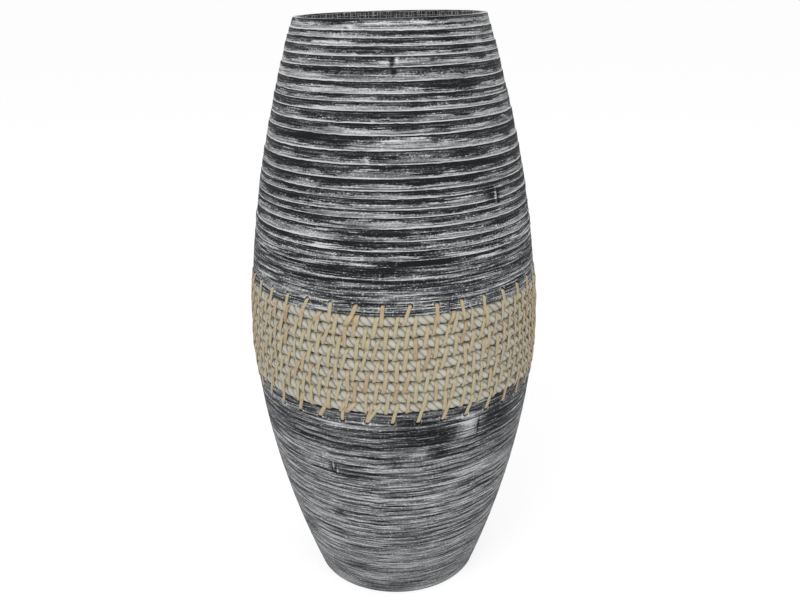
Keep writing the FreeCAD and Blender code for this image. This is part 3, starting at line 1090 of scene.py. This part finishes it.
def gauze_piece(material):
    """A net of threads inside the mouth, in place of the CAD's lining."""
    low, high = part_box("gauze_lining")
    outside = (high[0] - low[0]) / 2
    bottom, top = low[2], high[2]
    inner = outside - GAUZE_INSET
    posts = round(TAU * outside / THREAD_SPACING)
    levels = round((top - bottom) / THREAD_SPACING)
    theta = even_angles(posts * 4)
    edge = rim_height(theta, inner) - GAUZE_BELOW_RIM
    threads = []
    for level in range(levels + 1):
        z = bottom + (edge - bottom) * level / levels + THREAD_STRAY * wave(theta, THREAD_WAVE, level)
        radius = inner + WEAVE_DEPTH * np.cos(posts / 2 * theta + level * math.pi)
        threads.append(thread(polar(radius, theta, z), True))
    for post in range(posts):
        angle = post / posts * TAU + POST_STRAY * math.sin(post * POST_BEAT)
        z = np.linspace(bottom, rim_height(angle, inner) - GAUZE_BELOW_RIM, levels * 2 + 1)
        radius = inner - WEAVE_DEPTH * np.cos(np.arange(len(z)) * math.pi / 2 + post * math.pi)
        threads.append(thread(polar(radius, angle, z), False))
    piece = add_mesh("gauze_net", *joined(*zip(*threads)), material)
    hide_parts("gauze_lining")


def base_piece(material):
    """The flat wound base: spiral grooves in and out, standing on its outer ring."""
    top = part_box("base_disc")[1][2]
    theta = even_angles(BASE_COLUMNS)
    ring = Ring(theta)

    def grooved(radius, z, way):
        return z + way * GROOVE_DEPTH * (1 - np.abs(np.cos(math.pi * radius / BASE_PITCH + theta / 2)) ** 0.5)

    for radius in np.arange(BASE_PITCH / 2, RING_INSIDE - BASE_PITCH / 4, BASE_PITCH / 4):
        ring.add(radius, grooved(radius, RECESS_DEPTH, 1), UNDERSIDE_BAND, UNDERSIDE_WHITE)
    ring.add(RING_INSIDE, RECESS_DEPTH, UNDERSIDE_BAND, UNDERSIDE_WHITE)
    foot = FOOT_RADIUS - FOOT_CHAMFER
    for radius in np.arange(RING_INSIDE, foot, BASE_PITCH / 3):
        ring.add(radius, 0, UNDERSIDE_BAND, UNDERSIDE_WHITE)
    for share in (0.0, 0.3, 0.7, 1.0):
        radius = foot + (float(wall_radius(FOOT_CHAMFER)) - foot) * share ** 0.7
        ring.add(radius, FOOT_CHAMFER * share ** 1.5, FOOT_BAND)
    for z in np.linspace(FOOT_CHAMFER, top, 7)[1:]:
        ring.add(wall_radius(z), z, FOOT_BAND)
    for radius in np.arange(float(wall_radius(top)) - WALL_THICKNESS, BASE_PITCH / 2, -BASE_PITCH / 3):
        ring.add(radius, grooved(radius, top, -1), INSIDE_BAND, JOINT_WHITE)
    ring.piece("dressed_base", material, "base_disc", FINE_SMOOTH_ANGLE)


# Stage

def build_camera():
    """The photo's view, from a fit to the outline, the rim and the foot."""
    data = bpy.data.cameras.new("camera")
    data.lens = 40.02
    data.sensor_width = 36
    data.clip_end = 200
    camera = bpy.data.objects.new("camera", data)
    bpy.context.collection.objects.link(camera)
    place = (0, -895.1 * MM, 631.5 * MM)
    pitch, yaw, roll = (math.radians(degrees) for degrees in (19.84, 0.42, 0.64))
    ahead = Vector((math.sin(yaw) * math.cos(pitch), math.cos(yaw) * math.cos(pitch), -math.sin(pitch)))
    level = Vector((math.cos(yaw), -math.sin(yaw), 0))
    top = level.cross(ahead)
    right = level * math.cos(roll) - top * math.sin(roll)
    up = top * math.cos(roll) + level * math.sin(roll)
    rows = [(right[i], up[i], -ahead[i], place[i]) for i in range(3)]
    camera.matrix_world = Matrix(rows + [(0, 0, 0, 1)])
    bpy.context.scene.camera = camera


def area_light(name, place, side, power):
    """A square lamp turned to the vase."""
    data = bpy.data.lights.new(name, "AREA")
    data.shape = "RECTANGLE"
    data.size = data.size_y = side
    data.energy = power
    light = bpy.data.objects.new(name, data)
    bpy.context.collection.objects.link(light)
    light.location = place
    light.rotation_euler = (Vector(LAMP_AIM) - Vector(place)).to_track_quat("-Z", "Y").to_euler()


def grey(value):
    """A grey of one linear value."""
    return (value, value, value, 1)


def build_world():
    """Soft light all round, white where the camera, a gloss or a see-through face shows it."""
    world = bpy.data.worlds.new("studio")
    bpy.context.scene.world = world
    n = Nodes(world, True)
    path = n.new("ShaderNodeLightPath").outputs
    shown = n.math("MAXIMUM", path["Is Camera Ray"], path["Is Glossy Ray"])
    shown = n.math("MAXIMUM", shown, path["Is Transmission Ray"])
    soft = n.filled("ShaderNodeBackground", grey(1), WORLD_LIGHT)
    white = n.filled("ShaderNodeBackground", grey(1))
    n.filled("ShaderNodeOutputWorld", n.filled("ShaderNodeMixShader", shown, soft, white))


def floor_white():
    """Matt white that the camera sees as white, apart from the vase's shadow."""
    n = Nodes(bpy.data.materials.new("floor_white"), True)
    matt = n.filled("ShaderNodeBsdfDiffuse", grey(FLOOR_WHITE))
    seen = n.filled("ShaderNodeBsdfDiffuse", grey(FLOOR_SEEN))
    glow = n.filled("ShaderNodeEmission", grey(1), FLOOR_GLOW)
    both = n.filled("ShaderNodeAddShader", seen, glow)
    camera = n.new("ShaderNodeLightPath").outputs["Is Camera Ray"]
    n.filled("ShaderNodeOutputMaterial", n.filled("ShaderNodeMixShader", camera, matt, both))
    return n.owner


def build_stage():
    """White floor and background, soft lights from front left and right."""
    bpy.context.scene.view_settings.view_transform = "Standard"
    build_world()
    mesh = bpy.data.meshes.new("floor")
    corners = [(x * FLOOR_HALF, y * FLOOR_HALF, 0) for x, y in ((-1, -1), (1, -1), (1, 1), (-1, 1))]
    mesh.from_pydata(corners, [], [(0, 1, 2, 3)])
    floor = bpy.data.objects.new("floor", mesh)
    bpy.context.collection.objects.link(floor)
    mesh.materials.append(floor_white())
    for lamp in LAMPS:
        area_light(*lamp)


# The whole vase

def build_vase():
    """Every piece, from the foot up and then the rope, the canes and the net."""
    rng = np.random.default_rng(SEED)
    paint = brushed_paint()
    turn = 1
    for number in range(1, 4):
        turn = smooth_piece("wall_strip_%02d" % number, turn, paint)
    turn = smooth_piece("wall_strip_04", turn, paint, BOTTOM_HOLES)
    seat_piece("wall_strip_05", paint)
    seat_piece("wall_strip_06", paint)
    turn = smooth_piece("wall_strip_07", turn, paint, TOP_HOLES)
    for number in range(8, 13):
        turn = terrace_piece("wall_strip_%02d" % number, turn, paint)
    base_piece(paint)
    gauze_piece(dusty_gauze())
    rope_piece(twisted_rope())
    row_stitches(split_cane(), rng)
    for upper in (True, False):
        edge_stitches(upper, split_cane(), rng)


build_vase()
build_camera()
build_stage()
